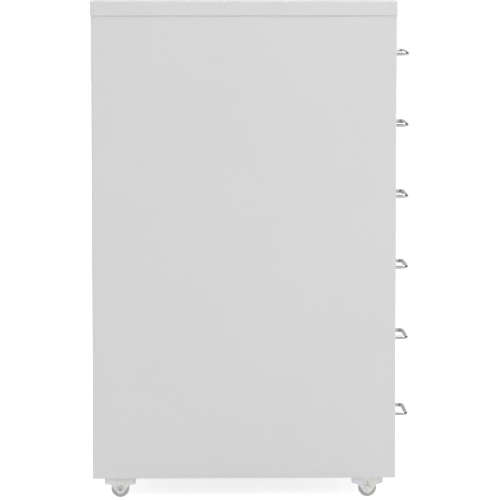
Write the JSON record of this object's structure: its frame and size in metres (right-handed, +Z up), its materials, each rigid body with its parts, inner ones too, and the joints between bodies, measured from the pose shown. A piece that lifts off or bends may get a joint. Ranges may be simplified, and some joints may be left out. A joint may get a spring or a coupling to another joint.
{
  "type": "drawer cabinet",
  "caption": "Narrow mobile sheet-steel drawer cabinet with a top cover, full-width drawers on side runners, wire bow handles and small fixed castors.",
  "frame": {"origin": "on the floor under the middle of the whole cabinet, handles and top cover included", "axes": "+Z up, drawers open towards -Y, +X to the right seen from the front"},
  "size_m": [0.28, 0.4444, 0.69],
  "materials": {
    "carcass_paint": "light grey powder coat, fine texture",
    "drawer_paint": "light grey powder coat, fine texture",
    "runner_steel": "zinc-plated sheet",
    "castor_steel": "bright zinc-plated pressing",
    "fastener_steel": "zinc-plated",
    "handle_chrome": "polished",
    "glide_nylon": "natural nylon",
    "wheel_rubber": "grey solid tread"
  },
  "bodies": {
    "carcass": {"top_cover": "carcass_paint", "left_side_panel": "carcass_paint", "right_side_panel": "carcass_paint", "back_panel": "carcass_paint", "bottom_panel": "carcass_paint", "top_rail": "carcass_paint", "bottom_rail": "carcass_paint", "front_left_post": "runner_steel", "front_left_castor_bracket": "castor_steel", "front_right_post": "runner_steel", "front_right_castor_bracket": "castor_steel", "rear_left_post": "runner_steel", "rear_left_castor_bracket": "castor_steel", "rear_right_post": "runner_steel", "rear_right_castor_bracket": "castor_steel", "castor_axles": "castor_steel", "castor_screws": "fastener_steel", "castor_nuts": "fastener_steel", "cover_nuts": "fastener_steel", "runner_glides": "glide_nylon", "runners_1": "runner_steel", "runners_2": "runner_steel", "runners_3": "runner_steel", "runners_4": "runner_steel", "runners_5": "runner_steel", "runners_6": "runner_steel"},
    "drawer_1": {"drawer_front_1": "drawer_paint", "drawer_tray_1": "drawer_paint", "drawer_handle_1": "handle_chrome", "handle_screws_1": "fastener_steel", "rear_glides_1": "glide_nylon"},
    "drawer_2": {"drawer_front_2": "drawer_paint", "drawer_tray_2": "drawer_paint", "drawer_handle_2": "handle_chrome", "handle_screws_2": "fastener_steel", "rear_glides_2": "glide_nylon"},
    "drawer_3": {"drawer_front_3": "drawer_paint", "drawer_tray_3": "drawer_paint", "drawer_handle_3": "handle_chrome", "handle_screws_3": "fastener_steel", "rear_glides_3": "glide_nylon"},
    "drawer_4": {"drawer_front_4": "drawer_paint", "drawer_tray_4": "drawer_paint", "drawer_handle_4": "handle_chrome", "handle_screws_4": "fastener_steel", "rear_glides_4": "glide_nylon"},
    "drawer_5": {"drawer_front_5": "drawer_paint", "drawer_tray_5": "drawer_paint", "drawer_handle_5": "handle_chrome", "handle_screws_5": "fastener_steel", "rear_glides_5": "glide_nylon"},
    "drawer_6": {"drawer_front_6": "drawer_paint", "drawer_tray_6": "drawer_paint", "drawer_handle_6": "handle_chrome", "handle_screws_6": "fastener_steel", "rear_glides_6": "glide_nylon"},
    "front_left_wheel": {"front_left_wheel": "wheel_rubber"},
    "front_right_wheel": {"front_right_wheel": "wheel_rubber"},
    "rear_left_wheel": {"rear_left_wheel": "wheel_rubber"},
    "rear_right_wheel": {"rear_right_wheel": "wheel_rubber"}
  },
  "joints": [
    {"name": "drawer_1_slide", "type": "slide", "parent": "carcass", "child": "drawer_1", "axis": [0, -1, 0], "range_m": [0, 0.29]},
    {"name": "drawer_2_slide", "type": "slide", "parent": "carcass", "child": "drawer_2", "axis": [0, -1, 0], "range_m": [0, 0.29]},
    {"name": "drawer_3_slide", "type": "slide", "parent": "carcass", "child": "drawer_3", "axis": [0, -1, 0], "range_m": [0, 0.29]},
    {"name": "drawer_4_slide", "type": "slide", "parent": "carcass", "child": "drawer_4", "axis": [0, -1, 0], "range_m": [0, 0.29]},
    {"name": "drawer_5_slide", "type": "slide", "parent": "carcass", "child": "drawer_5", "axis": [0, -1, 0], "range_m": [0, 0.29]},
    {"name": "drawer_6_slide", "type": "slide", "parent": "carcass", "child": "drawer_6", "axis": [0, -1, 0], "range_m": [0, 0.29]},
    {"name": "front_left_wheel_spin", "type": "hinge", "parent": "carcass", "child": "front_left_wheel", "pos_m": [-0.117, -0.16075, 0.0125], "axis": [1, 0, 0], "continuous": true},
    {"name": "front_right_wheel_spin", "type": "hinge", "parent": "carcass", "child": "front_right_wheel", "pos_m": [0.117, -0.16075, 0.0125], "axis": [1, 0, 0], "continuous": true},
    {"name": "rear_left_wheel_spin", "type": "hinge", "parent": "carcass", "child": "rear_left_wheel", "pos_m": [-0.117, 0.18325, 0.0125], "axis": [1, 0, 0], "continuous": true},
    {"name": "rear_right_wheel_spin", "type": "hinge", "parent": "carcass", "child": "rear_right_wheel", "pos_m": [0.117, 0.18325, 0.0125], "axis": [1, 0, 0], "continuous": true}
  ]
}
